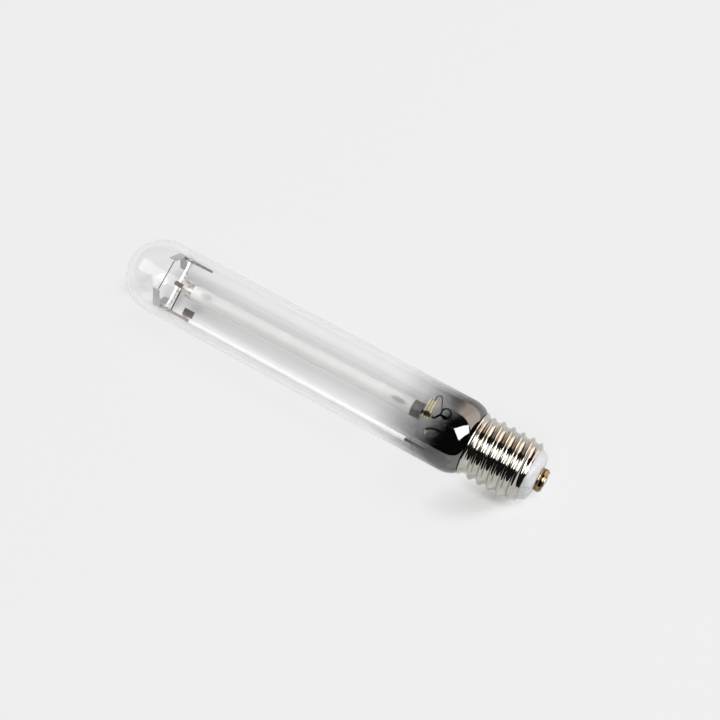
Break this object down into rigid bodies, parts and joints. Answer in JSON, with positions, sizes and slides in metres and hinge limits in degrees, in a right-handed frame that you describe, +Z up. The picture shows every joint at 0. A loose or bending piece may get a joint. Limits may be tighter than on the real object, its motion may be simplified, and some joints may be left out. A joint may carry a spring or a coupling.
{
  "type": "high pressure sodium lamp",
  "caption": "Tubular high pressure sodium discharge lamp with a clear outer bulb, a ceramic arc tube on a wire frame and a large screw cap.",
  "frame": {"origin": "middle of the lamp's length and width, on the surface that it lies on", "axes": "+X along the lamp's axis from the bulb's dome to the cap, +Z up, away from the surface that it lies on"},
  "size_m": [0.2856, 0.046, 0.046],
  "materials": {
    "clear_glass": "clear, fire-polished",
    "stem_glass": "clear, pressed",
    "nickel_plate": "bright nickel plate on rolled sheet",
    "white_insulator": "smooth white ceramic",
    "plain_brass": "turned, slightly dull",
    "solder": "dull solder",
    "cement": "rough capping cement",
    "nickel_wire": "drawn wire",
    "copper_wire": "drawn wire",
    "translucent_alumina": "translucent white ceramic",
    "alumina_plug": "sintered ceramic",
    "niobium_foil": "dull foil",
    "niobium_tube": "drawn tube",
    "tungsten": "dark, coated coil",
    "sodium_amalgam": "bright bead",
    "nickel_plated_steel": "drawn and plated rod",
    "steatite": "white ceramic",
    "spring_steel": "rolled strip",
    "gilt_strip": "thin gilt strip",
    "getter_alloy": "dark sintered alloy",
    "getter_ring_steel": "dark, fired"
  },
  "bodies": {
    "root": {"amalgam_dose": "sodium_amalgam", "arc_tube": "translucent_alumina", "base_electrode": "tungsten", "base_feed_tube": "niobium_tube", "base_heat_shield": "niobium_foil", "base_plug": "alumina_plug", "cap_insulator": "white_insulator", "cap_shell": "nickel_plate", "capping_cement": "cement", "centre_contact": "plain_brass", "centre_inner_lead": "nickel_wire", "centre_outer_lead": "copper_wire", "contact_solder": "solder", "cross_strap": "spring_steel", "dome_electrode": "tungsten", "dome_feed_tube": "niobium_tube", "dome_heat_shield": "niobium_foil", "dome_plug": "alumina_plug", "flexible_strip": "gilt_strip", "getter_plate": "getter_alloy", "getter_ring": "getter_ring_steel", "link_wire": "nickel_wire", "loop_wire": "nickel_wire", "main_rod": "nickel_plated_steel", "main_spring": "spring_steel", "outer_bulb": "clear_glass", "rod_sleeve": "steatite", "side_inner_lead": "nickel_wire", "side_outer_lead": "copper_wire", "stem_glass": "stem_glass", "stop_wire": "nickel_wire", "stub_rod": "nickel_plated_steel", "stub_spring": "spring_steel", "tie_wire": "nickel_wire"}
  },
  "joints": []
}
